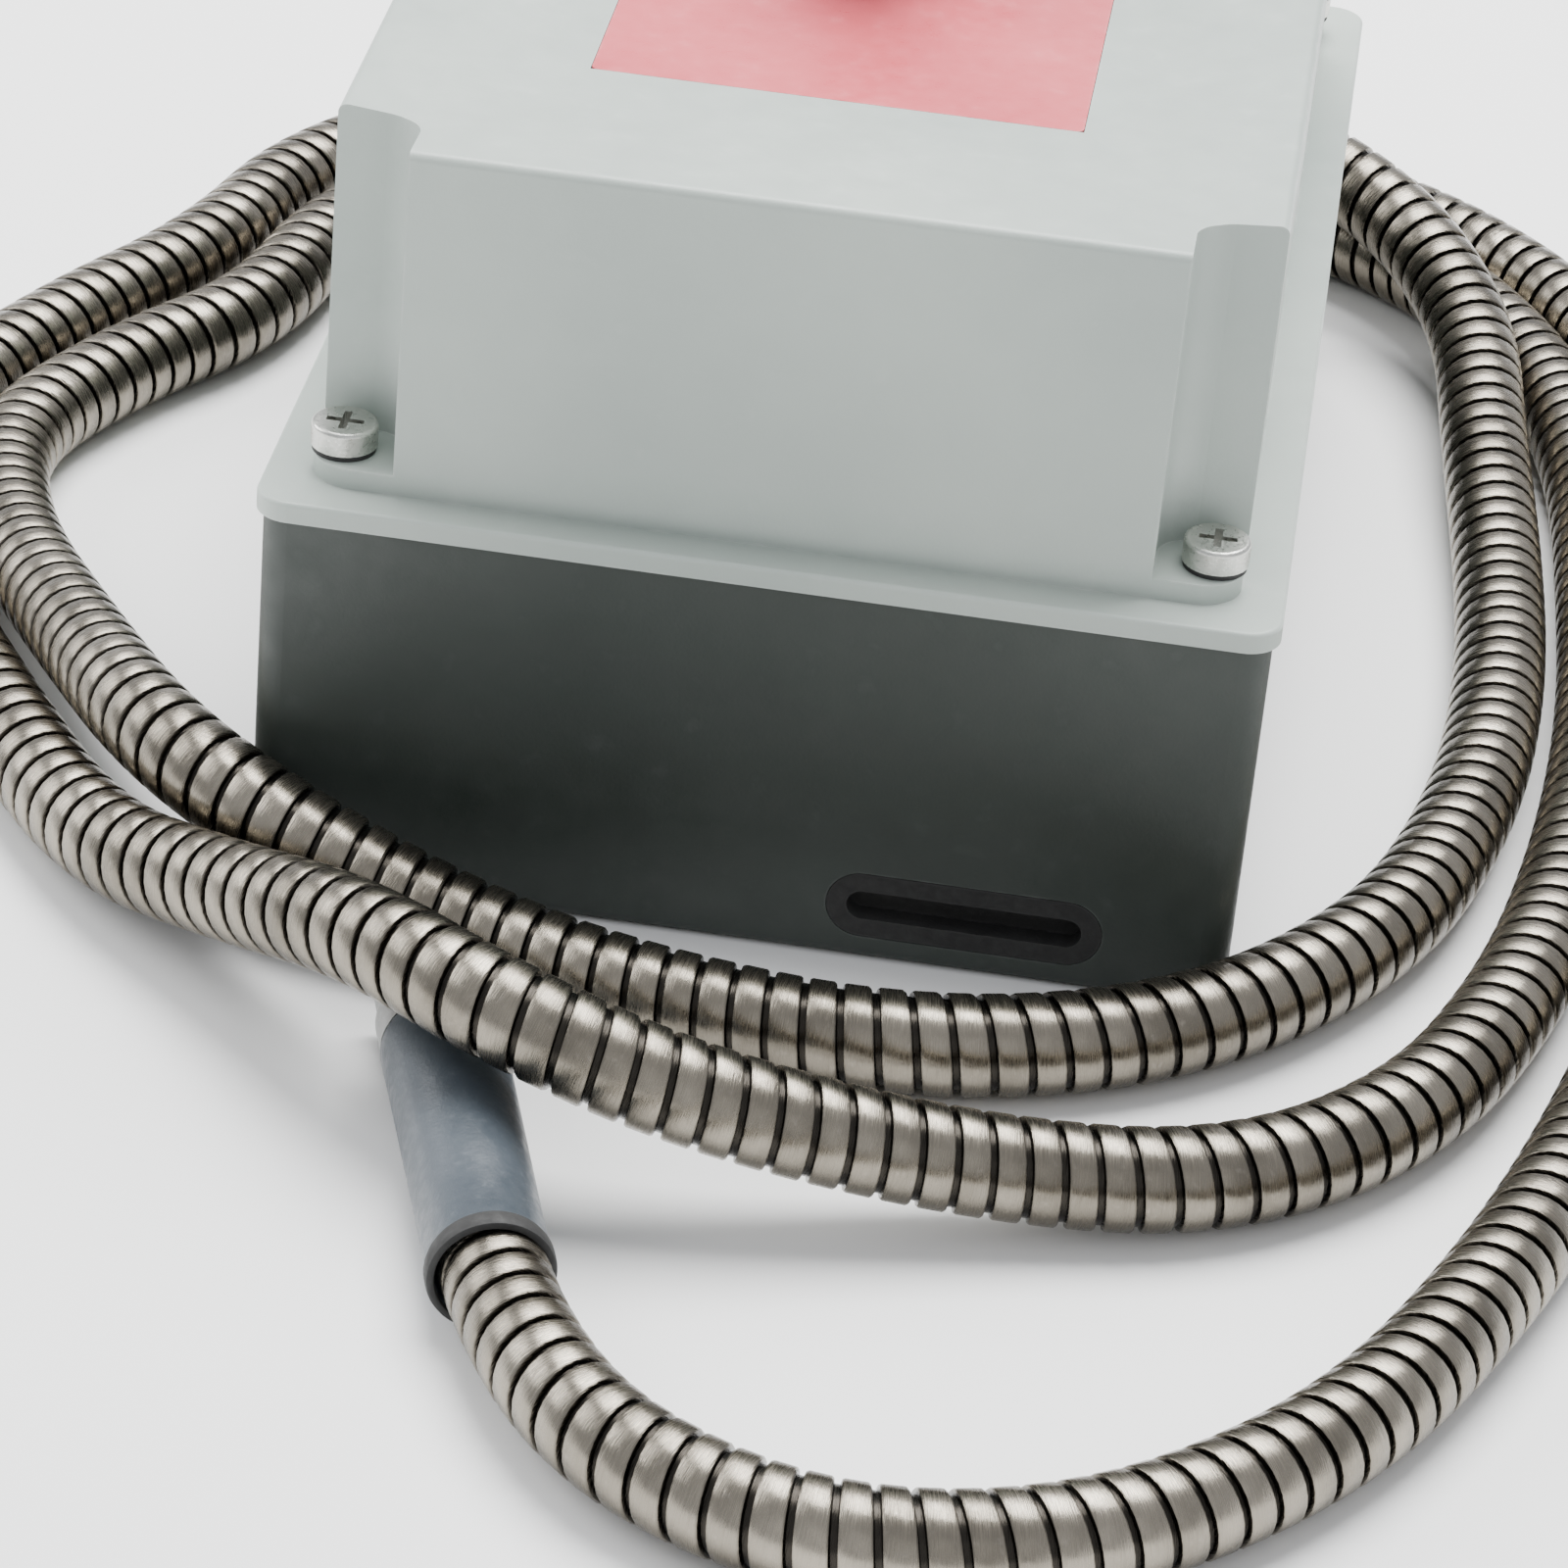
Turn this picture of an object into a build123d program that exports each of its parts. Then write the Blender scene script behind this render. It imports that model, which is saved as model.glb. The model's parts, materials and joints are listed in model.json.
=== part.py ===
from build123d import *
import math
import os

os.makedirs("parts", exist_ok=True)

# All sizes in millimetres. X runs across the enclosure, Y along it, Z out of the wall it is fixed to.

# Enclosure
enclosure_width = 140.0
enclosure_length = 215.0
seam_height = 60.0
cover_height = 51.0
flange_thickness = 3.0
flange_lip = 1.0
ledge_width = 6.25
wall = 3.0
floor_thickness = 3.5
base_corner_radius = 4.0
flange_corner_radius = 5.0
cover_corner_radius = 6.0
foot_radius = 1.8
front_edge_radius = 1.2
rim_width = 6.0
rim_depth = 5.0
cut_margin = 2.0

# Front frame and red plate
plate_width = 68.0
plate_length = 123.0
plate_thickness = 1.0
frame_drop = 2.6
frame_rim = 1.5

# Corner wells, cover screws and seam gasket
well_width = 12.0
well_depth = 12.5
well_radius = 5.0
well_floor_height = 3.0
screw_inset_x = 4.0
screw_inset_y = 6.2
cover_screw_radius = 2.0
cover_screw_hole_radius = 2.3
cover_screw_head_radius = 4.6
cover_screw_head_height = 3.4
cover_screw_reach = 14.0
screw_seal_thickness = 0.8
insert_radius = 3.2
insert_length = 12.0
pillar_margin = 3.3
gasket_width = 2.4
gasket_depth = 2.0
gasket_inset = 1.9

# Wall fixing holes
fixing_spacing_x = 90.0
fixing_spacing_y = 181.0
fixing_hole_radius = 2.75
fixing_boss_radius = 6.5
fixing_boss_height = 3.5

# Named clearances
slip = 0.1
press = 0.02
running = 0.06
blade_gap = 0.3
face_gap = 0.3

# Mounting plate
mounting_plate_width = 104.0
mounting_plate_length = 150.0
mounting_plate_thickness = 2.0
mounting_plate_height = 10.0
mounting_spacing_x = 88.0
mounting_spacing_y = 132.0
mounting_boss_radius = 5.0
mounting_screw_radius = 1.55
mounting_screw_hole_radius = 2.1
mounting_screw_head_radius = 3.6
mounting_screw_head_height = 2.4
mounting_screw_reach = 7.0

# Switch body
deck_count = 3
deck_size = 56.0
deck_height = 13.0
deck_floor = 2.0
deck_corner_radius = 3.0
chamber_radius = 21.0
detent_height = 12.0
top_plate_thickness = 4.0
shelf_reach = 15.0
shelf_half_width = 20.0
shelf_thickness = 1.6
rib_thickness = 1.6
tie_bolt_offset = 23.5
tie_bolt_radius = 1.6
tie_bolt_head_radius = 2.9
tie_bolt_head_height = 2.4
tie_nut_across_flats = 5.5
tie_nut_height = 2.4

# Shaft, rotors and blades
shaft_size = 7.0
rotor_radius = 10.0
rotor_spigot_radius = 7.9
blade_reach = 20.0
blade_width = 6.0
blade_thickness = 1.6
blade_eye_radius = 8.4
blade_height = 7.0
handle_throw = 60.0
coupler_radius = 8.0
coupler_length = 18.0
grub_screw_radius = 1.5

# Fixed contacts and terminals
contact_offset = blade_reach * math.sin(math.radians(90.0 - handle_throw)) + 0.5
contact_width = 6.0
contact_thickness = 1.5
contact_reach = 41.0
jaw_depth = 6.4
jaw_web = 1.5
terminal_x = 36.0
terminal_screw_radius = 1.9
terminal_head_radius = 3.2
terminal_head_height = 2.6
clamp_thickness = 1.2
clamp_size = 7.0
clamp_nut_thickness = 2.6
link_width = 4.0

# Detent
detent_wheel_radius = 13.0
detent_nose_radius = 2.0
detent_notch_radius = 2.4
leaf_thickness = 1.0
leaf_half_length = 15.2

# Front bush and handle
bush_radius = 11.0
bush_flange_radius = 21.5
bush_flange_height = 2.2
bush_reach = 12.0
bush_nut_across_flats = 27.0
bush_nut_height = 5.0
spigot_radius = 8.0
spigot_length = 17.0
seal_groove_depth = 1.5
seal_height = 2.0
skirt_radius = 20.5
skirt_height = 7.0
grip_length = 54.0
grip_width = 13.0
grip_height = 27.0
grip_taper = 2.0

# Earth bar
earth_bar_x = -58.0
earth_bar_length = 48.0
earth_bar_width = 8.0
earth_bar_height = 7.0
earth_bar_centre_y = -30.0
earth_screw_pitch = 10.0

# Low cable entry in the near end wall
entry_x = 32.0
entry_z = 8.8
entry_width = 36.0
entry_height = 7.6
entry_recess = 1.2
grommet_lip = 1.2
grommet_membrane = 1.0

# Conduit, elbow connector and boot
conduit_radius = 7.0
conduit_wall = 1.0
elbow_x = -40.0
elbow_z = 30.0
elbow_reach = 27.0
elbow_end_x = -20.0
elbow_radius = 9.5
elbow_bore = 6.0
elbow_flange_radius = 12.5
elbow_flange_thickness = 5.0
nipple_radius = 10.0
nipple_reach = 12.0
locknut_across_flats = 24.0
locknut_thickness = 4.0
elbow_seal_thickness = 1.0
gland_nut_across_flats = 23.0
gland_nut_front = 12.0
gland_nut_back = 6.0
bushing_height = 3.0
wire_radius = 1.6
wire_bend = 6.0
conduit_wire_entry = 4.0
boot_radius = 8.4
boot_length = 52.0
boot_insertion = 13.0
connector_collar_radius = 8.2
connector_collar_length = 6.0
connector_thread_radius = 7.6
connector_thread_length = 10.0

# Values worked out from the sizes above
base_width = enclosure_width - 2 * flange_lip
base_length = enclosure_length - 2 * flange_lip
base_top = seam_height - flange_thickness
cover_width = enclosure_width - 2 * ledge_width
cover_length = enclosure_length - 2 * ledge_width
front_height = seam_height + cover_height
frame_inner_height = front_height - frame_drop
plate_seat = frame_inner_height - plate_thickness
ceiling = plate_seat - wall
well_floor = seam_height + well_floor_height
screw_x = cover_width / 2 - screw_inset_x
screw_y = cover_length / 2 - screw_inset_y
detent_base = mounting_plate_height + mounting_plate_thickness
first_deck = detent_base + detent_height
deck_top = first_deck + deck_count * deck_height
top_plate_top = deck_top + top_plate_thickness
coupler_base = top_plate_top + 6.0
shaft_joint = coupler_base + coupler_length * 0.6
skirt_base = frame_inner_height + bush_flange_height + face_gap
spigot_base = skirt_base - spigot_length
far_wall = base_length / 2
elbow_seat = far_wall + elbow_seal_thickness
elbow_turn_y = far_wall + elbow_reach
CENTRE_LOW = (Align.CENTER, Align.CENTER, Align.MIN)


def block(x0, x1, y0, y1, z0, z1):
    return Pos(x0, y0, z0) * Box(x1 - x0, y1 - y0, z1 - z0, align=(Align.MIN, Align.MIN, Align.MIN))


def rounded_block(width, length, radius, z0, z1):
    return Pos(0, 0, z0) * extrude(RectangleRounded(width, length, radius), z1 - z0)


def rod(x, y, radius, z0, z1):
    return Pos(x, y, z0) * Cylinder(radius, z1 - z0, align=CENTRE_LOW)


def rod_x(y, z, radius, x0, x1):
    return Pos(x0, y, z) * Rot(0, 90, 0) * Cylinder(radius, x1 - x0, align=CENTRE_LOW)


def rod_y(x, z, radius, y0, y1):
    return Pos(x, y0, z) * Rot(-90, 0, 0) * Cylinder(radius, y1 - y0, align=CENTRE_LOW)


def hexagon(across_flats, height):
    return extrude(RegularPolygon(across_flats / 2, 6, major_radius=False), height)


def oblong_y(x, z, width, height, y0, y1):
    half = (width - height) / 2
    middle = block(x - half, x + half, y0, y1, z - height / 2, z + height / 2)
    return middle + rod_y(x - half, z, height / 2, y0, y1) + rod_y(x + half, z, height / 2, y0, y1)


def corners(spacing_x, spacing_y):
    places = []
    for side_x in (-1, 1):
        for side_y in (-1, 1):
            places.append((side_x * spacing_x / 2, side_y * spacing_y / 2))
    return places


def save(shape, name):
    export_step(shape, "parts/" + name + ".step")


def group(solids):
    return Compound(children=list(solids))


# Enclosure shells

def well_block(x_side, y_side, extra, z0, z1):
    # A tall block over one corner of the cover; its inner vertical corner is rounded.
    reach = 60.0
    centre_x = x_side * (cover_width / 2 - well_width - extra + reach / 2)
    centre_y = y_side * (cover_length / 2 - well_depth - extra + reach / 2)
    return Pos(centre_x, centre_y, z0) * extrude(RectangleRounded(reach, reach, well_radius + extra), z1 - z0)


def base_shell():
    shell = rounded_block(base_width, base_length, base_corner_radius, 0, base_top)
    shell = fillet(shell.edges().group_by(Axis.Z)[0], foot_radius)
    inner_radius = base_corner_radius - wall + 0.5
    shell -= rounded_block(base_width - 2 * wall, base_length - 2 * wall, inner_radius, floor_thickness,
                           base_top + cut_margin)
    rim = rounded_block(base_width - wall, base_length - wall, inner_radius, base_top - rim_depth, base_top)
    rim -= rounded_block(base_width - 2 * rim_width, base_length - 2 * rim_width, inner_radius,
                         base_top - rim_depth - cut_margin, base_top + cut_margin)
    shell += rim
    pillar_x = screw_x - insert_radius - pillar_margin
    pillar_y = screw_y - insert_radius - pillar_margin
    for side_x, side_y in corners(2, 2):
        low_x, high_x = sorted((side_x * pillar_x, side_x * (base_width / 2 - wall / 2)))
        low_y, high_y = sorted((side_y * pillar_y, side_y * (base_length / 2 - wall / 2)))
        shell += block(low_x, high_x, low_y, high_y, floor_thickness - wall / 2, base_top)
    for x, y in corners(fixing_spacing_x, fixing_spacing_y):
        shell += rod(x, y, fixing_boss_radius, floor_thickness / 2, floor_thickness + fixing_boss_height)
        shell -= rod(x, y, fixing_hole_radius, -cut_margin, floor_thickness + fixing_boss_height + cut_margin)
    for x, y in corners(mounting_spacing_x, mounting_spacing_y):
        shell += rod(x, y, mounting_boss_radius, floor_thickness / 2, mounting_plate_height)
        shell -= rod(x, y, mounting_screw_radius + running, floor_thickness, mounting_plate_height + cut_margin)
    bar_low = earth_bar_centre_y - earth_bar_length / 2
    for place in (bar_low + earth_bar_width / 2, bar_low + earth_bar_length - earth_bar_width / 2):
        shell += rod(earth_bar_x, place, earth_bar_width / 2, floor_thickness / 2, mounting_plate_height)
    for x, y in corners(2 * screw_x, 2 * screw_y):
        shell -= rod(x, y, insert_radius + press, base_top - insert_length, base_top + cut_margin)
        shell -= rod(x, y, cover_screw_hole_radius, base_top - insert_length - 4.0, base_top)
    shell -= gasket_ring(gasket_width + 2 * slip, base_top - gasket_depth, base_top + cut_margin)
    near_wall = -base_length / 2
    shell -= oblong_y(entry_x, entry_z, entry_width, entry_height, near_wall - cut_margin, near_wall + wall + 1.0)
    lip = grommet_lip + slip
    shell -= oblong_y(entry_x, entry_z, entry_width + 2 * lip, entry_height + 2 * lip, near_wall - cut_margin,
                      near_wall + entry_recess)
    shell -= rod_y(elbow_x, elbow_z, nipple_radius + slip, far_wall - wall - 1.0, far_wall + cut_margin)
    return shell


def gasket_ring(width, z0, z1):
    centre_width = base_width - 2 * gasket_inset - gasket_width
    centre_length = base_length - 2 * gasket_inset - gasket_width
    outer = rounded_block(centre_width + width, centre_length + width, base_corner_radius - 1.0, z0, z1)
    inner = rounded_block(centre_width - width, centre_length - width, base_corner_radius - 2.5, z0 - 1.0, z1 + 1.0)
    return outer - inner


def cover_shell():
    shell = rounded_block(cover_width, cover_length, cover_corner_radius, base_top, front_height)
    shell = fillet(shell.edges().group_by(Axis.Z)[-1], front_edge_radius)
    flange = rounded_block(enclosure_width, enclosure_length, flange_corner_radius, base_top, seam_height)
    shell += fillet(flange.edges().group_by(Axis.Z)[-1], 0.6)
    hollow = rounded_block(cover_width - 2 * wall, cover_length - 2 * wall, cover_corner_radius - wall,
                           base_top - cut_margin, ceiling)
    for side_x, side_y in corners(2, 2):
        shell -= well_block(side_x, side_y, 0.0, well_floor, front_height + cut_margin)
        hollow -= well_block(side_x, side_y, wall, base_top - 2 * cut_margin, ceiling + cut_margin)
    shell -= hollow
    slope = loft([Pos(0, 0, frame_inner_height) * Rectangle(plate_width + 2 * slip, plate_length + 2 * slip),
                  Pos(0, 0, front_height) * Rectangle(cover_width - 2 * frame_rim, cover_length - 2 * frame_rim)])
    shell -= slope
    half_width = plate_width / 2 + slip
    half_length = plate_length / 2 + slip
    shell -= block(-half_width, half_width, -half_length, half_length, plate_seat, frame_inner_height + 0.5)
    shell -= rod(0, 0, bush_radius + slip, ceiling - cut_margin, front_height)
    for x, y in corners(2 * screw_x, 2 * screw_y):
        shell -= rod(x, y, cover_screw_hole_radius, base_top - cut_margin, well_floor + cut_margin)
    return shell


def cover_screws():
    solids = []
    for x, y in corners(2 * screw_x, 2 * screw_y):
        seat = well_floor + screw_seal_thickness
        screw = rod(x, y, cover_screw_radius, base_top - cover_screw_reach + 4.0, seat + 1.0)
        head = rod(x, y, cover_screw_head_radius, seat, seat + cover_screw_head_height)
        head = fillet(head.edges().group_by(Axis.Z)[-1], 0.6)
        slot = block(x - 2.6, x + 2.6, y - 0.55, y + 0.55, seat + 1.6, seat + 5.0)
        slot += block(x - 0.55, x + 0.55, y - 2.6, y + 2.6, seat + 1.6, seat + 5.0)
        solids.append(screw + head - slot)
    return group(solids)


def screw_seals():
    solids = []
    for x, y in corners(2 * screw_x, 2 * screw_y):
        ring = rod(x, y, cover_screw_head_radius - 0.2, well_floor, well_floor + screw_seal_thickness)
        solids.append(ring - rod(x, y, cover_screw_radius + slip, well_floor - 1.0, well_floor + 3.0))
    return group(solids)


def base_inserts():
    solids = []
    for x, y in corners(2 * screw_x, 2 * screw_y):
        sleeve = rod(x, y, insert_radius, base_top - insert_length, base_top)
        solids.append(sleeve - rod(x, y, cover_screw_radius + running, base_top - insert_length - 1.0, base_top + 1.0))
    return group(solids)


def red_plate():
    plate = block(-plate_width / 2, plate_width / 2, -plate_length / 2, plate_length / 2, plate_seat,
                  frame_inner_height)
    plate = fillet(plate.edges().filter_by(Axis.Z), 1.0)
    return plate - rod(0, 0, bush_radius + slip, plate_seat - 1.0, frame_inner_height + 1.0)


def entry_grommet():
    near_wall = -base_length / 2
    lip = 2 * grommet_lip
    body = oblong_y(entry_x, entry_z, entry_width + lip, entry_height + lip, near_wall, near_wall + entry_recess)
    body += oblong_y(entry_x, entry_z, entry_width - 2 * slip, entry_height - 2 * slip, near_wall, near_wall + wall + 1.4)
    body += oblong_y(entry_x, entry_z, entry_width + lip, entry_height + lip, near_wall + wall, near_wall + wall + 1.4)
    pocket = 2 * grommet_lip + 0.8
    depth = wall + 1.4 - grommet_membrane
    body -= oblong_y(entry_x, entry_z, entry_width - pocket, entry_height - pocket, near_wall - 1.0, near_wall + depth)
    return body


# Switch on its mounting plate

def mounting_plate():
    top = mounting_plate_height + mounting_plate_thickness
    plate = rounded_block(mounting_plate_width, mounting_plate_length, 3.0, mounting_plate_height, top)
    for x, y in corners(mounting_spacing_x, mounting_spacing_y):
        plate -= rod(x, y, mounting_screw_hole_radius, mounting_plate_height - 1.0, top + 1.0)
    for x, y in corners(2 * tie_bolt_offset, 2 * tie_bolt_offset):
        plate -= rod(x, y, tie_bolt_radius + slip, mounting_plate_height - 1.0, top + 1.0)
    return plate


def mounting_screws():
    solids = []
    seat = mounting_plate_height + mounting_plate_thickness
    for x, y in corners(mounting_spacing_x, mounting_spacing_y):
        head = rod(x, y, mounting_screw_head_radius, seat, seat + mounting_screw_head_height)
        head = fillet(head.edges().group_by(Axis.Z)[-1], 0.8)
        shank = rod(x, y, mounting_screw_radius, seat - mounting_screw_reach, seat + 1.0)
        slot = block(x - 2.2, x + 2.2, y - 0.45, y + 0.45, seat + 1.2, seat + 4.0)
        solids.append(head + shank - slot)
    return group(solids)


def tie_bolt_holes(body, z0, z1):
    for x, y in corners(2 * tie_bolt_offset, 2 * tie_bolt_offset):
        body -= rod(x, y, tie_bolt_radius + slip, z0 - 1.0, z1 + 1.0)
    return body


def tie_bolts():
    solids = []
    for x, y in corners(2 * tie_bolt_offset, 2 * tie_bolt_offset):
        head = rod(x, y, tie_bolt_head_radius, mounting_plate_height - tie_bolt_head_height, mounting_plate_height)
        solids.append(head + rod(x, y, tie_bolt_radius, mounting_plate_height - 1.0, top_plate_top + 4.0))
    return group(solids)


def tie_nuts():
    solids = []
    for x, y in corners(2 * tie_bolt_offset, 2 * tie_bolt_offset):
        nut = Pos(x, y, top_plate_top) * hexagon(tie_nut_across_flats, tie_nut_height)
        solids.append(nut - rod(x, y, tie_bolt_radius + press, top_plate_top - 1.0, top_plate_top + 5.0))
    return group(solids)


def detent_housing():
    body = rounded_block(deck_size, deck_size, deck_corner_radius, detent_base, first_deck)
    body -= rod(0, 0, chamber_radius + 1.0, detent_base + deck_floor, first_deck + 1.0)
    body -= rod(0, 0, 6.0 + running, detent_base - 1.0, detent_base + 3.0)
    for side in (-1, 1):
        centre = side * leaf_centre()
        half = leaf_thickness / 2 + slip
        body -= block(centre - half, centre + half, -leaf_half_length - slip, leaf_half_length + slip,
                      detent_base + 3.0, first_deck + 1.0)
    return tie_bolt_holes(body, detent_base, first_deck)


def leaf_centre():
    return detent_wheel_radius + face_gap + 2 * detent_nose_radius - leaf_thickness / 2


def detent_springs():
    solids = []
    for side in (-1, 1):
        centre = side * leaf_centre()
        half = leaf_thickness / 2
        low = detent_base + 3.0
        leaf = block(centre - half, centre + half, -leaf_half_length, leaf_half_length, low, first_deck - 2.0)
        nose_x = side * (detent_wheel_radius + face_gap + detent_nose_radius)
        solids.append(leaf + rod(nose_x, 0, detent_nose_radius, low, first_deck - 2.0))
    return group(solids)


def detent_wheel():
    low = detent_base + deck_floor + 0.4
    wheel = rod(0, 0, detent_wheel_radius, low, first_deck - 2.0)
    for turn in (-handle_throw, 0.0, handle_throw, 180.0 - handle_throw, 180.0, 180.0 + handle_throw):
        reach = detent_wheel_radius + detent_notch_radius - 0.9
        x = reach * math.cos(math.radians(turn))
        y = reach * math.sin(math.radians(turn))
        wheel -= rod(x, y, detent_notch_radius, low - 1.0, first_deck)
    wheel += rod(0, 0, rotor_radius, low, first_deck - 0.4)
    wheel += rod(0, 0, 6.0, detent_base, low + 1.0)
    return wheel - square_bore(detent_base + 1.0, first_deck + 1.0)


def square_bore(z0, z1):
    half = shaft_size / 2 + slip / 2
    return block(-half, half, -half, half, z0, z1)


def deck_level(number):
    return first_deck + number * deck_height


def contact_places():
    return [(1, 1), (-1, 1), (-1, -1), (1, -1)]


def deck(number):
    low = deck_level(number)
    high = low + deck_height
    body = rounded_block(deck_size, deck_size, deck_corner_radius, low, high)
    reach = deck_size / 2 + shelf_reach
    body += block(-reach, reach, -shelf_half_width, shelf_half_width, low, low + shelf_thickness)
    for side in (-1, 1):
        inner, outer = sorted((side * (deck_size / 2 - 1.0), side * reach))
        body += block(inner, outer, -rib_thickness / 2, rib_thickness / 2, low, high - 0.5)
        body += block(inner, outer, -shelf_half_width, -shelf_half_width + rib_thickness, low, high - 0.5)
        body += block(inner, outer, shelf_half_width - rib_thickness, shelf_half_width, low, low + 5.0)
    body -= rod(0, 0, chamber_radius, low + deck_floor, high + 1.0)
    body -= rod(0, 0, rotor_spigot_radius + running, low - 1.0, low + deck_floor + 1.0)
    for side_x, side_y in contact_places():
        inner, outer = sorted((side_x * 8.0, side_x * (deck_size / 2 + 1.0)))
        half = contact_width / 2 + slip
        centre = side_y * contact_offset
        body -= block(inner, outer, centre - half, centre + half, low + lower_jaw_base() - slip, high + 1.0)
    return tie_bolt_holes(body, low, high)


def lower_jaw_base():
    return blade_height - blade_gap - contact_thickness


def contacts(number):
    low = deck_level(number)
    solids = []
    for side_x, side_y in contact_places():
        centre = side_y * contact_offset
        y0 = centre - contact_width / 2
        y1 = centre + contact_width / 2
        web_x = blade_reach + jaw_web
        jaw_x = web_x - jaw_depth
        bottom = low + lower_jaw_base()
        top = low + blade_height + blade_thickness + blade_gap
        inner, outer = sorted((side_x * jaw_x, side_x * contact_reach))
        bar = block(inner, outer, y0, y1, bottom, bottom + contact_thickness)
        inner, outer = sorted((side_x * web_x, side_x * (web_x + jaw_web)))
        bar += block(inner, outer, y0, y1, bottom, top + contact_thickness)
        inner, outer = sorted((side_x * jaw_x, side_x * (web_x + jaw_web)))
        bar += block(inner, outer, y0, y1, top, top + contact_thickness)
        bar -= rod(side_x * terminal_x, centre, terminal_screw_radius + slip, bottom - 1.0, top + 3.0)
        solids.append(bar)
    return group(solids)


def blade_form(low, gap):
    z0 = low + blade_height - gap
    z1 = low + blade_height + blade_thickness + gap
    form = rod(0, 0, blade_eye_radius + gap, z0, z1)
    half = blade_width / 2 + gap
    return form + block(-half, half, -blade_reach, blade_reach, z0, z1)


def blade(number):
    low = deck_level(number)
    return blade_form(low, 0.0) - square_bore(low, low + deck_height)


def rotor(number):
    low = deck_level(number)
    body = rod(0, 0, rotor_radius, low + deck_floor + face_gap, low + deck_height - 0.4)
    body += rod(0, 0, rotor_spigot_radius, low - 0.4, low + deck_floor + 1.0)
    body -= blade_form(low, press)
    return body - square_bore(low - 1.0, low + deck_height + 1.0)


def top_plate():
    plate = rounded_block(deck_size, deck_size, deck_corner_radius, deck_top, top_plate_top)
    plate -= rod(0, 0, shaft_size / math.sqrt(2) + face_gap, deck_top - 1.0, top_plate_top + 1.0)
    return tie_bolt_holes(plate, deck_top, top_plate_top)


def link_straps():
    # One copper strap on each deck joins the two terminals that feed the load.
    solids = []
    outer_x = terminal_x + link_width / 2
    inner_x = terminal_x - link_width / 2
    back_y = deck_size / 2 + 2.0
    start_y = contact_offset - contact_width / 2
    for number in range(deck_count):
        z0 = deck_level(number) + lower_jaw_base() + contact_thickness
        z1 = z0 + clamp_thickness
        strap = block(-outer_x, outer_x, back_y, back_y + link_width, z0, z1)
        for side in (-1, 1):
            low, high = sorted((side * inner_x, side * outer_x))
            strap += block(low, high, start_y, back_y + 1.0, z0, z1)
            strap += rod(side * terminal_x, contact_offset, clamp_size / 2, z0, z1)
            strap -= rod(side * terminal_x, contact_offset, terminal_screw_radius + slip, z0 - 1.0, z1 + 1.0)
        solids.append(strap)
    return group(solids)


def clamp_washers():
    solids = []
    for number in range(deck_count):
        z0 = deck_level(number) + lower_jaw_base() + contact_thickness
        for side in (-1, 1):
            x = side * terminal_x
            washer = rod(x, -contact_offset, clamp_size / 2, z0, z0 + clamp_thickness)
            solids.append(washer - rod(x, -contact_offset, terminal_screw_radius + slip, z0 - 1.0, z0 + 3.0))
    return group(solids)


def clamp_nuts():
    solids = []
    for number in range(deck_count):
        top = deck_level(number) + lower_jaw_base()
        for side_x, side_y in contact_places():
            x = side_x * terminal_x
            y = side_y * contact_offset
            half = contact_width / 2
            nut = block(x - half, x + half, y - half, y + half, top - clamp_nut_thickness, top)
            solids.append(nut - rod(x, y, terminal_screw_radius + press, top - 5.0, top + 1.0))
    return group(solids)


def terminal_screws():
    solids = []
    for number in range(deck_count):
        seat = deck_level(number) + lower_jaw_base() + contact_thickness + clamp_thickness
        for side_x, side_y in contact_places():
            x = side_x * terminal_x
            y = side_y * contact_offset
            head = rod(x, y, terminal_head_radius, seat, seat + terminal_head_height)
            shank = rod(x, y, terminal_screw_radius, seat - 5.2, seat + 1.0)
            slot = block(x - 2.2, x + 2.2, y - 0.5, y + 0.5, seat + 1.4, seat + 4.0)
            solids.append(head + shank - slot)
    return group(solids)


# Shaft line and handle

def switch_shaft():
    half = shaft_size / 2
    return block(-half, half, -half, half, detent_base + 1.0, shaft_joint)


def shaft_extension():
    half = shaft_size / 2
    return block(-half, half, -half, half, shaft_joint, skirt_base - 4.0)


def coupler():
    body = rod(0, 0, coupler_radius, coupler_base, coupler_base + coupler_length)
    body -= square_bore(coupler_base - 1.0, coupler_base + coupler_length + 1.0)
    for z in grub_screw_levels():
        body -= rod_x(0, z, grub_screw_radius + press, 0, coupler_radius + 1.0)
    return body


def grub_screw_levels():
    return (coupler_base + 4.0, coupler_base + coupler_length - 4.0)


def coupler_screws():
    solids = []
    for z in grub_screw_levels():
        solids.append(rod_x(0, z, grub_screw_radius, shaft_size / 2 + slip, coupler_radius))
    return group(solids)


def front_bush():
    low = ceiling - bush_reach + wall
    body = rod(0, 0, bush_radius, low, frame_inner_height + 1.0)
    flange = rod(0, 0, bush_flange_radius, frame_inner_height, frame_inner_height + bush_flange_height)
    body += fillet(flange.edges().group_by(Axis.Z)[-1], 0.8)
    body -= rod(0, 0, spigot_radius + running, low - 1.0, front_height + 5.0)
    z0 = ceiling - 1.0
    return body - rod(0, 0, spigot_radius + seal_groove_depth, z0, z0 + seal_height)


def shaft_seal():
    z0 = ceiling - 1.0
    ring = rod(0, 0, spigot_radius + seal_groove_depth - press, z0 + press, z0 + seal_height - press)
    return ring - rod(0, 0, spigot_radius + running / 2, z0 - 1.0, z0 + 5.0)


def bush_nut():
    nut = Pos(0, 0, ceiling - bush_nut_height) * hexagon(bush_nut_across_flats, bush_nut_height)
    return nut - rod(0, 0, bush_radius + press, ceiling - bush_nut_height - 1.0, ceiling + 1.0)


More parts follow.
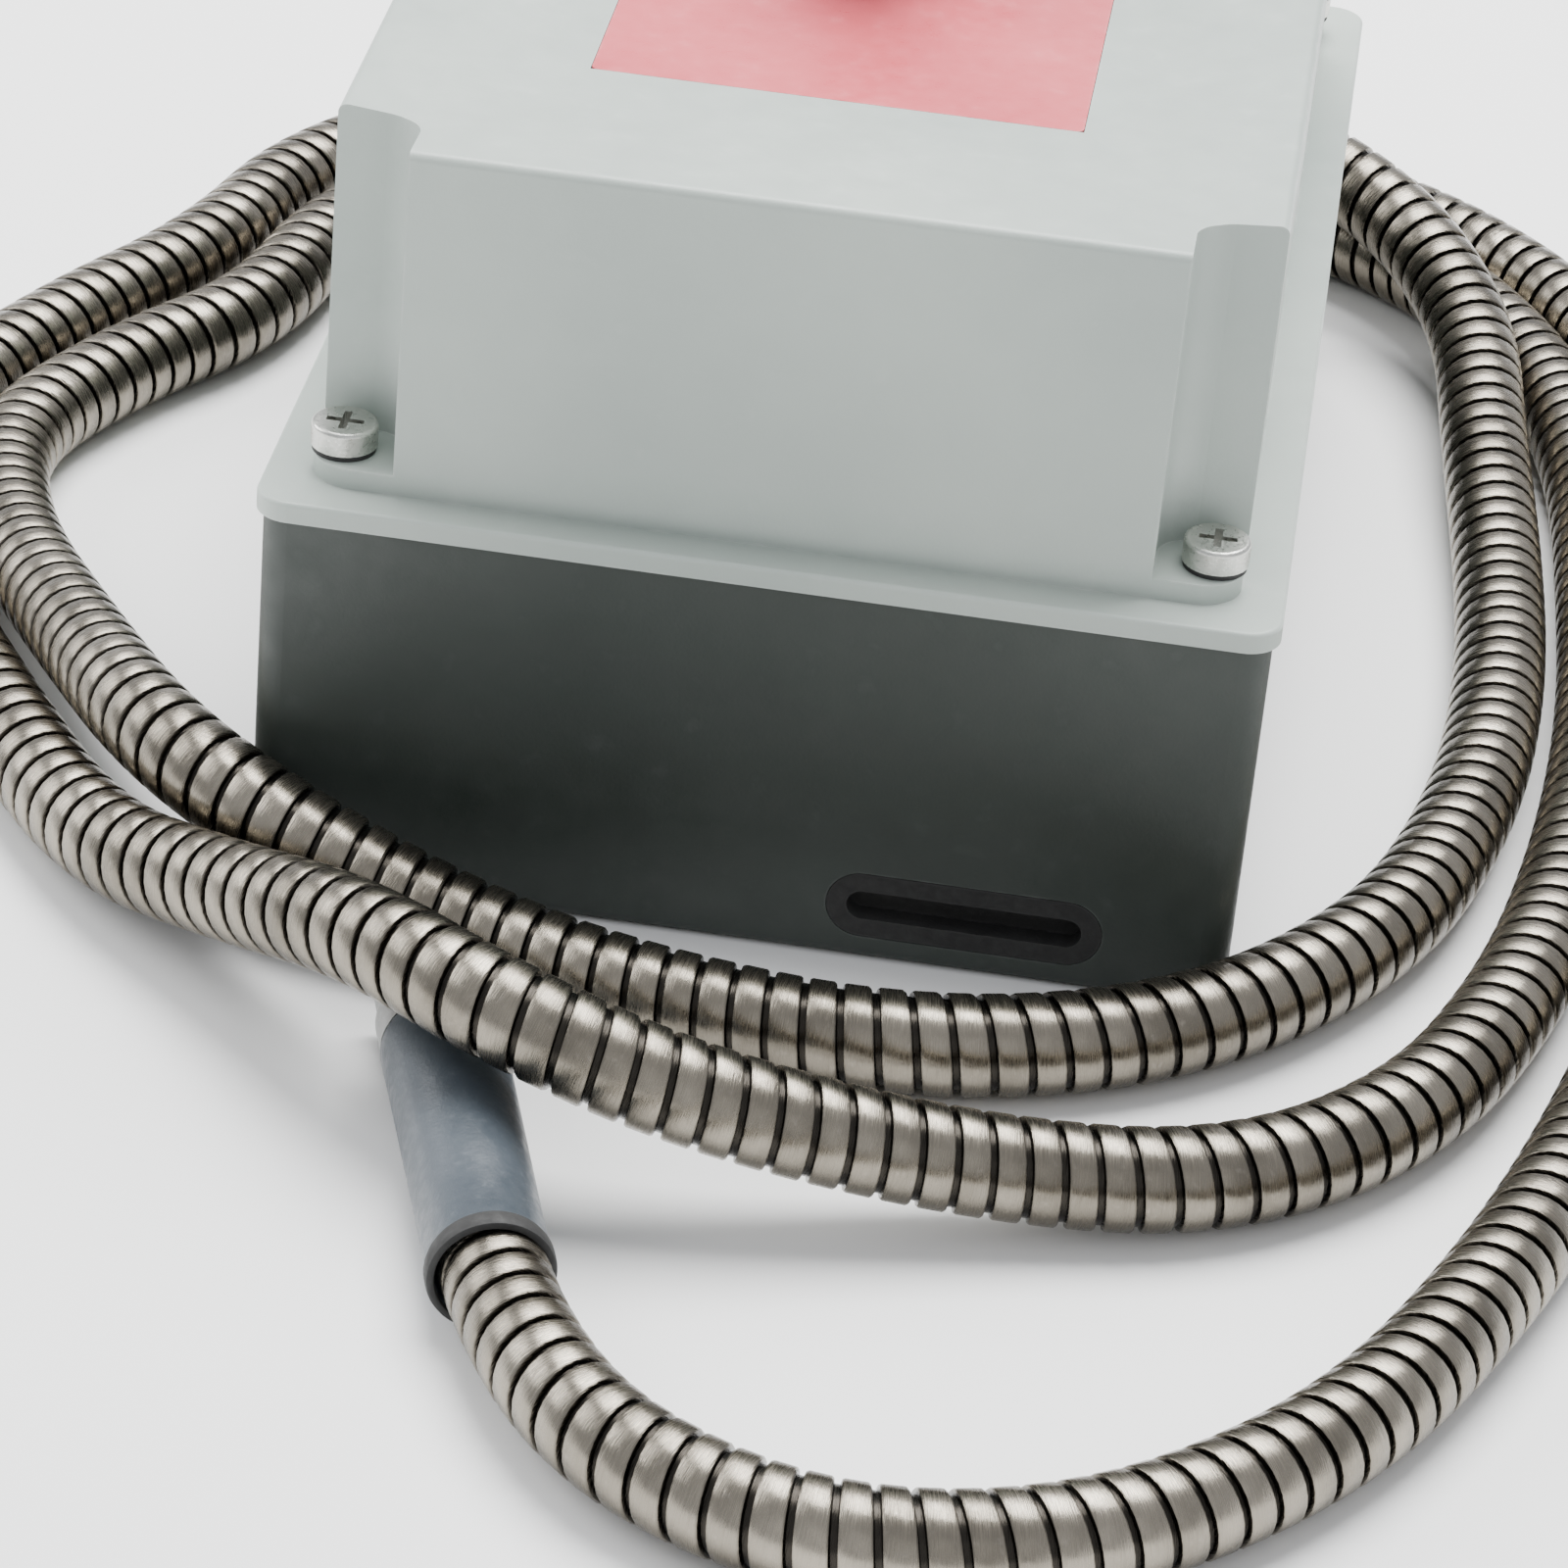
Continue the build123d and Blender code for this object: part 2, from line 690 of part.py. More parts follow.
def handle():
    body = rod(0, 0, skirt_radius, skirt_base, skirt_base + skirt_height)
    body = fillet(body.edges().group_by(Axis.Z)[-1], 2.5)
    low = skirt_base + skirt_height - 3.0
    high = skirt_base + grip_height
    grip = loft([Pos(0, 0, low) * RectangleRounded(grip_width, grip_length - 16.0, 5.0),
                 Pos(0, 0, high) * RectangleRounded(grip_width - grip_taper, grip_length, 4.0)])
    grip = fillet(grip.edges().group_by(Axis.Z)[-1], 1.6)
    body += grip
    body += rod(0, 0, spigot_radius, spigot_base, skirt_base + 1.0)
    body -= square_bore(spigot_base - 1.0, skirt_base - 4.0 + face_gap)
    body -= rod(0, 0, 4.2, high - 5.0, high + 1.0)
    body -= rod(0, 0, 1.6, skirt_base - 5.0, high)
    return body - pointer_form(high, slip)


def pointer_form(high, gap):
    return block(-1.2 - gap, 1.2 + gap, 8.0 - gap, grip_length / 2 - 4.0 + gap, high - 0.8, high + gap)


def handle_pointer():
    return pointer_form(skirt_base + grip_height, 0.0)


def handle_screw():
    high = skirt_base + grip_height
    head = rod(0, 0, 4.1, high - 5.0, high - 1.6)
    shank = rod(0, 0, 1.5, skirt_base - 4.0 + face_gap, high - 4.0)
    return head + shank - (Pos(0, 0, high - 3.6) * hexagon(3.0, 4.0))


# Earth bar and wires

def earth_bar():
    y0 = earth_bar_centre_y - earth_bar_length / 2
    low = mounting_plate_height
    bar = block(earth_bar_x - earth_bar_width / 2, earth_bar_x + earth_bar_width / 2, y0, y0 + earth_bar_length,
                low, low + earth_bar_height)
    for y in earth_screw_places():
        bar -= rod(earth_bar_x, y, 1.6 + press, low + 1.0, low + earth_bar_height + 1.0)
    return bar


def earth_screw_places():
    count = 4
    first = earth_bar_centre_y - earth_screw_pitch * (count - 1) / 2
    return [first + step * earth_screw_pitch for step in range(count)]


def earth_screws():
    solids = []
    seat = mounting_plate_height + earth_bar_height
    for y in earth_screw_places():
        head = rod(earth_bar_x, y, 2.9, seat, seat + 2.2)
        shank = rod(earth_bar_x, y, 1.6, seat - 5.0, seat + 1.0)
        solids.append(head + shank - block(earth_bar_x - 2.0, earth_bar_x + 2.0, y - 0.4, y + 0.4, seat + 1.2, seat + 4.0))
    return group(solids)


def wire(points):
    path = FilletPolyline(*points, radius=wire_bend - 1.0)
    start = Plane(origin=path @ 0, z_dir=path % 0)
    return sweep(start * Circle(wire_radius), path=path)


def wire_run(start, lane_x, side, rise):
    # From a terminal, along the side of the switch, through the wall and round the elbow.
    x, y, z = start
    middle_x = elbow_x + side
    turn_y = elbow_turn_y - side
    exit_z = elbow_z + rise
    end_x = elbow_end_x + conduit_wire_entry
    # The wire on the inner side of the slant turns later, which keeps it parallel to its neighbour.
    lag = -0.35 * side
    return wire([(x, y, z), (lane_x, y, z), (lane_x, far_wall - 42.0 + lag, z),
                 (middle_x, far_wall - 22.0 + lag, exit_z), (middle_x, turn_y, exit_z), (end_x, turn_y, exit_z)])


def load_wires():
    solids = []
    spread = wire_radius + 0.2
    lanes = ((-50.0, spread, -spread), (-53.5, spread, spread), (-57.0, -spread, spread))
    for number in range(deck_count):
        lane_x, side, rise = lanes[number]
        level = deck_level(number) + lower_jaw_base() + contact_thickness / 2
        solids.append(wire_run((-contact_reach, contact_offset, level), lane_x, side, rise))
    return group(solids)


def earth_wire():
    spread = wire_radius + 0.2
    start_y = earth_bar_centre_y + earth_bar_length / 2
    level = mounting_plate_height + earth_bar_height / 2
    exit_z = elbow_z - spread
    return wire([(earth_bar_x, start_y, level), (earth_bar_x, far_wall - 40.0, level),
                 (elbow_x - spread, far_wall - 20.0, exit_z), (elbow_x - spread, elbow_turn_y + spread, exit_z),
                 (elbow_end_x + conduit_wire_entry, elbow_turn_y + spread, exit_z)])


# Elbow connector, conduit and boot

def conduit_elbow():
    y1 = elbow_turn_y
    body = rod_y(elbow_x, elbow_z, elbow_radius, elbow_seat, y1)
    body += Pos(elbow_x, y1, elbow_z) * Sphere(elbow_radius)
    body += rod_x(y1, elbow_z, elbow_radius, elbow_x, elbow_end_x)
    body += rod_y(elbow_x, elbow_z, elbow_flange_radius, elbow_seat, elbow_seat + elbow_flange_thickness)
    body += rod_y(elbow_x, elbow_z, nipple_radius, far_wall - nipple_reach, elbow_seat + 1.0)
    body -= rod_y(elbow_x, elbow_z, elbow_bore, far_wall - nipple_reach - 1.0, y1)
    body -= Pos(elbow_x, y1, elbow_z) * Sphere(elbow_bore)
    return body - rod_x(y1, elbow_z, elbow_bore, elbow_x, elbow_end_x + 1.0)


def elbow_seal():
    ring = rod_y(elbow_x, elbow_z, elbow_flange_radius - 0.5, far_wall, elbow_seat)
    return ring - rod_y(elbow_x, elbow_z, nipple_radius + slip, far_wall - 1.0, elbow_seat + 1.0)


def elbow_locknut():
    inner_face = far_wall - wall
    nut = Pos(elbow_x, inner_face, elbow_z) * Rot(90, 0, 0) * Rot(0, 0, 30) * hexagon(locknut_across_flats, locknut_thickness)
    return nut - rod_y(elbow_x, elbow_z, nipple_radius + press, inner_face - 10.0, inner_face + 1.0)


def wire_bushing():
    end = far_wall - nipple_reach
    ring = rod_y(elbow_x, elbow_z, nipple_radius, end - bushing_height, end)
    return ring - rod_y(elbow_x, elbow_z, elbow_bore - 0.6, end - 10.0, end + 1.0)


def gland_nut():
    x0 = elbow_end_x - gland_nut_back
    x1 = elbow_end_x + gland_nut_front
    nut = Pos(x0, elbow_turn_y, elbow_z) * Rot(0, 90, 0) * hexagon(gland_nut_across_flats, x1 - x0)
    nut -= rod_x(elbow_turn_y, elbow_z, elbow_radius + running, x0 - 1.0, elbow_end_x)
    return nut - rod_x(elbow_turn_y, elbow_z, conduit_radius + slip, x0, x1 + 1.0)


# The boot lies on the floor; its axis runs from its mouth towards the enclosure.
boot_mouth = Vector(-16.5, -204.5, boot_radius + slip)
boot_axis = Vector(-0.30, 0.95, 0.0).normalized()

# Centre line of the conduit: out of the elbow, two turns round the enclosure, a front loop, into the boot.
floor_level = conduit_radius + slip
conduit_route = [
    (elbow_end_x, elbow_turn_y, elbow_z), (14, elbow_turn_y, elbow_z), (50, 132.5, 27), (79, 118.5, 21),
    (95, 90.5, 15), (98.5, 54.5, 10.5), (102.5, 17.5, 7.3), (104, -18.5, floor_level),
    (101, -56.5, floor_level), (90, -94.5, floor_level), (65, -124.5, floor_level),
    (30, -138.5, floor_level), (-10, -134.5, floor_level), (-38, -125.5, 9), (-62, -119.5, 16.5),
    (-82, -106.5, 20), (-102, -71.5, 14), (-121, -36.5, 9), (-130, -4.5, floor_level),
    (-118, 25.5, floor_level), (-101, 50.5, floor_level), (-96, 85.5, floor_level),
    (-74, 119.5, floor_level), (-37, 137.5, floor_level), (4, 143.5, floor_level), (44, 144.5, floor_level),
    (82, 129, floor_level), (106, 95.5, floor_level), (116, 55.5, floor_level), (118.5, 14.5, floor_level),
    (119.5, -25.5, floor_level), (116.5, -64.5, floor_level), (110, -101.5, floor_level),
    (97, -136.5, floor_level), (73, -159.5, floor_level), (41, -166.5, 9), (4, -173.5, 18),
    (-23, -172.5, 27), (-44, -155.5, 25.5), (-66, -135, 15), (-89, -116.5, 7.8), (-113, -80.5, floor_level),
    (-136, -42.5, floor_level), (-145, -2.5, floor_level), (-132, 35.5, floor_level),
    (-114, 68.5, floor_level), (-106, 106.5, floor_level), (-78, 138.5, floor_level),
    (-37, 155.5, floor_level), (8, 160.5, floor_level), (53, 157.5, floor_level), (93, 138.5, floor_level),
    (119, 103.5, floor_level), (130, 60.5, floor_level), (134.5, 15.5, floor_level),
    (135.5, -30.5, floor_level), (131.5, -77.5, floor_level), (123, -124.5, floor_level),
    (110, -169.5, floor_level), (91, -211.5, floor_level), (60, -240.5, floor_level), (24, -246.5, 7.4)]
last_run = 35.0


def conduit_points():
    end = boot_mouth + boot_axis * boot_insertion
    before = end - boot_axis * last_run
    points = [Vector(*point) for point in conduit_route]
    return points + [before, end]


def tangent_radii(points):
    radii = []
    for index in range(1, len(points) - 1):
        back = points[index] - points[index - 1]
        ahead = points[index + 1] - points[index]
        turn = math.radians(back.get_angle(ahead))
        radii.append(0.45 * min(back.length, ahead.length) / math.tan(turn / 2))
    return radii


def conduit():
    points = conduit_points()
    radii = tangent_radii(points)
    print("conduit radii", [round(radius) for radius in radii])
    path = FilletPolyline(*points, radius=radii)
    section = Circle(conduit_radius) - Circle(conduit_radius - conduit_wall)
    tube = sweep(Plane(origin=path @ 0, z_dir=path % 0) * section, path=path)
    area = math.pi * (conduit_radius ** 2 - (conduit_radius - conduit_wall) ** 2)
    print("conduit length", round(path.length), "volume ratio", round(tube.volume / (area * path.length), 4))
    return tube


def on_boot_axis(shape, start):
    # Places a shape that stands on Z so that it starts at a distance along the boot's axis.
    return Plane(origin=boot_mouth + boot_axis * start, z_dir=boot_axis) * shape


def conduit_boot():
    body = Cylinder(boot_radius, boot_length, align=CENTRE_LOW)
    body = fillet(body.edges().group_by(Axis.Z)[-1], 0.9)
    body -= Pos(0, 0, -1) * Cylinder(conduit_radius + slip, boot_length + 2, align=CENTRE_LOW)
    return on_boot_axis(body, 0.0)


def end_connector():
    sleeve = boot_length - boot_insertion
    body = Cylinder(conduit_radius, sleeve + 1.0, align=CENTRE_LOW)
    body += Pos(0, 0, sleeve) * Cylinder(connector_collar_radius, connector_collar_length, align=CENTRE_LOW)
    thread_start = sleeve + connector_collar_length
    body += Pos(0, 0, thread_start) * Cylinder(connector_thread_radius, connector_thread_length, align=CENTRE_LOW)
    body -= Pos(0, 0, -1) * Cylinder(conduit_radius - 1.6, 80.0, align=CENTRE_LOW)
    return on_boot_axis(body, boot_insertion)


single_pieces = {
    "base_shell": base_shell,
    "base_gasket": lambda: gasket_ring(gasket_width, base_top - gasket_depth, base_top),
    "cover_shell": cover_shell,
    "cover_screws": cover_screws,
    "screw_seals": screw_seals,
    "base_inserts": base_inserts,
    "red_plate": red_plate,
    "entry_grommet": entry_grommet,
    "mounting_plate": mounting_plate,
    "mounting_screws": mounting_screws,
    "tie_bolts": tie_bolts,
    "tie_nuts": tie_nuts,
    "detent_housing": detent_housing,
    "detent_springs": detent_springs,
    "detent_wheel": detent_wheel,
    "top_plate": top_plate,
    "link_straps": link_straps,
    "clamp_washers": clamp_washers,
    "clamp_nuts": clamp_nuts,
    "terminal_screws": terminal_screws,
    "switch_shaft": switch_shaft,
    "shaft_extension": shaft_extension,
    "shaft_coupler": coupler,
    "coupler_screws": coupler_screws,
    "front_bush": front_bush,
    "shaft_seal": shaft_seal,
    "bush_nut": bush_nut,
    "handle": handle,
    "handle_pointer": handle_pointer,
    "handle_screw": handle_screw,
    "earth_bar": earth_bar,
    "earth_screws": earth_screws,
    "load_wires": load_wires,
    "earth_wire": earth_wire,
    "conduit_elbow": conduit_elbow,
    "elbow_seal": elbow_seal,
    "elbow_locknut": elbow_locknut,
    "wire_bushing": wire_bushing,
    "gland_nut": gland_nut,
    "conduit": conduit,
    "conduit_boot": conduit_boot,
    "end_connector": end_connector,
}

for name, make in single_pieces.items():
    save(make(), name)

for number in range(deck_count):
    save(deck(number), "deck_" + str(number + 1))
    save(contacts(number), "contacts_" + str(number + 1))
    save(blade(number), "blade_" + str(number + 1))
    save(rotor(number), "rotor_" + str(number + 1))
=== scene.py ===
import json
import math

import bpy
import numpy as np
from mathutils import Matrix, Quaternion, Vector


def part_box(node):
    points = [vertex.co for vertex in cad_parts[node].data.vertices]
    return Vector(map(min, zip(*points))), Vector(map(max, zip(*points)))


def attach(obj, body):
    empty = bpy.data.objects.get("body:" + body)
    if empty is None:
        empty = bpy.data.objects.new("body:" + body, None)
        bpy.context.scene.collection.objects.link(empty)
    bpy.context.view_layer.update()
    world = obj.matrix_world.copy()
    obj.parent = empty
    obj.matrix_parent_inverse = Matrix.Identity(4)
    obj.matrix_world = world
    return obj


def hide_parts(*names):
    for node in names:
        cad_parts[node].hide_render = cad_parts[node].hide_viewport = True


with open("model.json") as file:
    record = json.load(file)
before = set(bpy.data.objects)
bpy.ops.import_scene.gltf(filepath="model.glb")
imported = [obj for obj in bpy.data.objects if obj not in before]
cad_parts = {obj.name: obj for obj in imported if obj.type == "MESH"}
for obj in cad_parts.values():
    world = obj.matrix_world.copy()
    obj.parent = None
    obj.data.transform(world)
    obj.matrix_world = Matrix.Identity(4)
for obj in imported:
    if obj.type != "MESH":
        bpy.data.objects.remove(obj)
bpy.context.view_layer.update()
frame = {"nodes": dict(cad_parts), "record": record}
print("frame loaded:", len(frame["nodes"]), "nodes")


def deselectAll():
    if bpy.context.object and bpy.context.object.mode != "OBJECT":
        bpy.ops.object.mode_set(mode="OBJECT")
    bpy.ops.object.select_all(action="DESELECT")


def makeActive(piece):
    deselectAll()
    piece.select_set(True)
    bpy.context.view_layer.objects.active = piece


def settle(piece):
    # Puts the piece's place into its mesh, so its object sits at the origin.
    makeActive(piece)
    bpy.ops.object.transform_apply(location=True, rotation=True, scale=True)


def recalculateNormals(piece):
    makeActive(piece)
    bpy.ops.object.mode_set(mode="EDIT")
    bpy.ops.mesh.select_all(action="SELECT")
    bpy.ops.mesh.remove_doubles(threshold=0.000005)
    bpy.ops.mesh.normals_make_consistent(inside=False)
    bpy.ops.object.mode_set(mode="OBJECT")


# Camera, on the side where the free end of the conduit lies

cameraSpec = {
    "place": (0.0668, -0.7951, 0.4412),
    "aim": (0.0060, -0.1124, 0.0300),
    "roll": 5.29,
    "lens": 135.1,
    "sensor": 36.0,
}

bpy.ops.object.camera_add(location=cameraSpec["place"])
camera = bpy.context.object
camera.name = "viewCamera"
camera.data.lens = cameraSpec["lens"]
camera.data.sensor_width = cameraSpec["sensor"]
camera.data.clip_start = 0.02
camera.data.clip_end = 20
lookAlong = Vector(cameraSpec["aim"]) - Vector(cameraSpec["place"])
camera.rotation_mode = "QUATERNION"
roll = Quaternion((0, 0, 1), math.radians(cameraSpec["roll"]))
camera.rotation_quaternion = lookAlong.to_track_quat("-Z", "Y") @ roll
bpy.context.scene.camera = camera
print("camera placed")


# Finishes, one for each material of the object

finishSpecs = {
    "moulded_base": {"tints": [(0.026, 0.034, 0.029), (0.040, 0.049, 0.043)], "rough": (0.38, 0.56),
                     "grain": (1900, 0.10), "patches": 16, "wear": (0.16, 0.17, 0.16), "wearAmount": 0.35},
    "moulded_cover": {"tints": [(0.36, 0.41, 0.38), (0.44, 0.49, 0.45)], "rough": (0.34, 0.50),
                      "grain": (2100, 0.08), "patches": 14, "wear": (0.68, 0.69, 0.66), "wearAmount": 0.30},
    "red_plate": {"tints": [(0.58, 0.085, 0.105), (0.68, 0.125, 0.145)], "rough": (0.26, 0.42),
                  "grain": (2600, 0.05), "patches": 22, "wear": (0.80, 0.32, 0.32), "wearAmount": 0.35},
    "seal_rubber": {"tints": [(0.012, 0.012, 0.012), (0.028, 0.028, 0.027)], "rough": (0.62, 0.86),
                    "grain": (1500, 0.22), "patches": 40, "wear": (0.07, 0.07, 0.07), "wearAmount": 0.3},
    "zinc_screw": {"tints": [(0.46, 0.47, 0.44), (0.60, 0.60, 0.56)], "rough": (0.24, 0.44), "metallic": 1.0,
                   "grain": (2400, 0.10), "patches": 160, "wear": (0.78, 0.78, 0.75), "wearAmount": 0.6},
    "brass": {"tints": [(0.52, 0.36, 0.13), (0.68, 0.50, 0.22)], "rough": (0.22, 0.42), "metallic": 1.0,
              "grain": (2200, 0.10), "patches": 90, "wear": (0.86, 0.72, 0.42), "wearAmount": 0.6},
    "plated_sheet": {"tints": [(0.46, 0.48, 0.49), (0.60, 0.61, 0.61)], "rough": (0.28, 0.48), "metallic": 1.0,
                     "grain": (700, 0.12), "patches": 30, "stretch": (1.0, 0.05, 1.0),
                     "wear": (0.76, 0.77, 0.78), "wearAmount": 0.5},
    "switch_moulding": {"tints": [(0.018, 0.018, 0.020), (0.034, 0.034, 0.037)], "rough": (0.42, 0.62),
                        "grain": (1700, 0.14), "patches": 34, "wear": (0.10, 0.10, 0.11), "wearAmount": 0.4},
    "rotor_moulding": {"tints": [(0.66, 0.63, 0.54), (0.76, 0.73, 0.65)], "rough": (0.36, 0.54),
                       "grain": (1800, 0.10), "patches": 60, "wear": (0.85, 0.83, 0.77), "wearAmount": 0.3},
    "contact_metal": {"tints": [(0.56, 0.30, 0.17), (0.72, 0.46, 0.30)], "rough": (0.24, 0.46), "metallic": 1.0,
                      "grain": (900, 0.10), "patches": 110, "stretch": (1.0, 0.1, 1.0),
                      "wear": (0.88, 0.66, 0.50), "wearAmount": 0.6},
    "spring_steel": {"tints": [(0.36, 0.37, 0.39), (0.50, 0.51, 0.53)], "rough": (0.20, 0.38), "metallic": 1.0,
                     "grain": (900, 0.10), "patches": 120, "stretch": (0.1, 1.0, 1.0),
                     "wear": (0.72, 0.73, 0.75), "wearAmount": 0.5},
    "shaft_steel": {"tints": [(0.40, 0.40, 0.41), (0.54, 0.54, 0.55)], "rough": (0.24, 0.44), "metallic": 1.0,
                    "grain": (1100, 0.12), "patches": 90, "stretch": (1.0, 1.0, 0.06),
                    "wear": (0.74, 0.74, 0.75), "wearAmount": 0.6},
    "bush_plastic": {"tints": [(0.011, 0.011, 0.011), (0.022, 0.022, 0.022)], "rough": (0.30, 0.50),
                     "grain": (1900, 0.10), "patches": 40, "wear": (0.09, 0.09, 0.09), "wearAmount": 0.4},
    "handle_plastic": {"tints": [(0.008, 0.008, 0.008), (0.018, 0.018, 0.018)], "rough": (0.24, 0.42),
                       "grain": (2000, 0.12), "patches": 36, "wear": (0.10, 0.10, 0.10), "wearAmount": 0.5},
    "pointer_white": {"tints": [(0.78, 0.78, 0.75), (0.86, 0.86, 0.83)], "rough": (0.28, 0.42),
                      "grain": (2400, 0.06), "patches": 90, "wear": (0.60, 0.60, 0.57), "wearAmount": 0.3},
    "wire_cover": {"tints": [(0.010, 0.010, 0.010), (0.022, 0.022, 0.022)], "rough": (0.30, 0.48),
                   "grain": (2600, 0.08), "patches": 70, "wear": (0.06, 0.06, 0.06), "wearAmount": 0.2},
    "earth_wire_cover": {"tints": [(0.03, 0.20, 0.04), (0.06, 0.30, 0.07)], "rough": (0.30, 0.48),
                         "grain": (2600, 0.08), "patches": 70, "wear": (0.2, 0.42, 0.2), "wearAmount": 0.2},
    "fitting_metal": {"tints": [(0.34, 0.35, 0.35), (0.50, 0.50, 0.49)], "rough": (0.34, 0.60), "metallic": 1.0,
                      "grain": (1300, 0.30), "patches": 70, "wear": (0.72, 0.71, 0.68), "wearAmount": 0.7},
    "bushing_plastic": {"tints": [(0.02, 0.06, 0.28), (0.04, 0.10, 0.38)], "rough": (0.30, 0.46),
                        "grain": (2400, 0.08), "patches": 90, "wear": (0.2, 0.28, 0.5), "wearAmount": 0.2},
    "boot_plastic": {"tints": [(0.040, 0.051, 0.063), (0.062, 0.076, 0.090)], "rough": (0.28, 0.46),
                     "grain": (1900, 0.12), "patches": 46, "wear": (0.34, 0.37, 0.40), "wearAmount": 0.4},
}
wearWidth = 0.0006  # how far wear reaches in from an edge


def addNode(tree, kind, **values):
    node = tree.nodes.new("ShaderNode" + kind)
    for key, value in values.items():
        if hasattr(node, key):
            setattr(node, key, value)
        else:
            node.inputs[key].default_value = value
    return node


def noiseAt(tree, source, scale, detail):
    noise = addNode(tree, "TexNoise")
    noise.inputs["Scale"].default_value = scale
    noise.inputs["Detail"].default_value = detail
    tree.links.new(source, noise.inputs["Vector"])
    return noise.outputs["Fac"]


def ranged(tree, source, fromLow, fromHigh, toLow, toHigh):
    node = addNode(tree, "MapRange")
    for name, value in (("From Min", fromLow), ("From Max", fromHigh), ("To Min", toLow), ("To Max", toHigh)):
        node.inputs[name].default_value = value
    tree.links.new(source, node.inputs["Value"])
    return node.outputs["Result"]


def blendColours(tree, share, first, second):
    # Each colour is a fixed value or another node's output.
    node = tree.nodes.new("ShaderNodeMix")
    node.data_type = "RGBA"
    tree.links.new(share, node.inputs[0])
    for socket, colour in ((node.inputs[6], first), (node.inputs[7], second)):
        if isinstance(colour, bpy.types.NodeSocket):
            tree.links.new(colour, socket)
        else:
            socket.default_value = (*colour, 1.0)
    return node.outputs[2]


def edgeShare(tree):
    # Rises from 0 on flat faces to 1 on edges, where the rounded normal leaves the true one.
    rounded = addNode(tree, "Bevel", samples=6)
    rounded.inputs["Radius"].default_value = wearWidth
    true = addNode(tree, "NewGeometry")
    dot = addNode(tree, "VectorMath", operation="DOT_PRODUCT")
    tree.links.new(rounded.outputs["Normal"], dot.inputs[0])
    tree.links.new(true.outputs["Normal"], dot.inputs[1])
    return ranged(tree, dot.outputs["Value"], 0.995, 0.90, 0.0, 1.0)


def makeFinish(name):
    spec = finishSpecs[name]
    paint = bpy.data.materials.new(name)
    paint.use_nodes = True
    tree = paint.node_tree
    shader = tree.nodes["Principled BSDF"]
    shader.inputs["Metallic"].default_value = spec.get("metallic", 0.0)
    place = tree.nodes.new("ShaderNodeTexCoord").outputs["Object"]
    stretched = addNode(tree, "Mapping")
    stretched.inputs["Scale"].default_value = spec.get("stretch", (1.0, 1.0, 1.0))
    tree.links.new(place, stretched.inputs["Vector"])
    patches = noiseAt(tree, place, spec["patches"], 5.0)
    speckle = noiseAt(tree, place, spec["patches"] * 14, 3.0)
    grain = noiseAt(tree, stretched.outputs["Vector"], spec["grain"][0], 3.0)
    colour = blendColours(tree, ranged(tree, patches, 0.35, 0.65, 0.0, 1.0), *spec["tints"])
    dusty = ranged(tree, speckle, 0.62, 0.80, 0.0, 0.10)
    colour = blendColours(tree, dusty, colour, spec["wear"])
    scuffed = addNode(tree, "Math", operation="MULTIPLY")
    tree.links.new(edgeShare(tree), scuffed.inputs[0])
    tree.links.new(ranged(tree, speckle, 0.40, 0.62, 0.0, spec["wearAmount"]), scuffed.inputs[1])
    colour = blendColours(tree, scuffed.outputs[0], colour, spec["wear"])
    tree.links.new(colour, shader.inputs["Base Color"])
    tree.links.new(ranged(tree, speckle, 0.3, 0.7, *spec["rough"]), shader.inputs["Roughness"])
    raised = addNode(tree, "Bump")
    raised.inputs["Strength"].default_value = spec["grain"][1]
    raised.inputs["Distance"].default_value = 0.0004
    tree.links.new(grain, raised.inputs["Height"])
    tree.links.new(raised.outputs["Normal"], shader.inputs["Normal"])
    return paint


def lay(piece, paint):
    piece.data.materials.clear()
    piece.data.materials.append(paint)


finishes = {name: makeFinish(name) for name in finishSpecs}
for subpart in frame["record"]["subparts"]:
    if subpart["material_slot"] in finishes:
        lay(frame["nodes"][subpart["node"]], finishes[subpart["material_slot"]])
print("finishes laid on:", len(finishes))


# Interlocked steel conduit

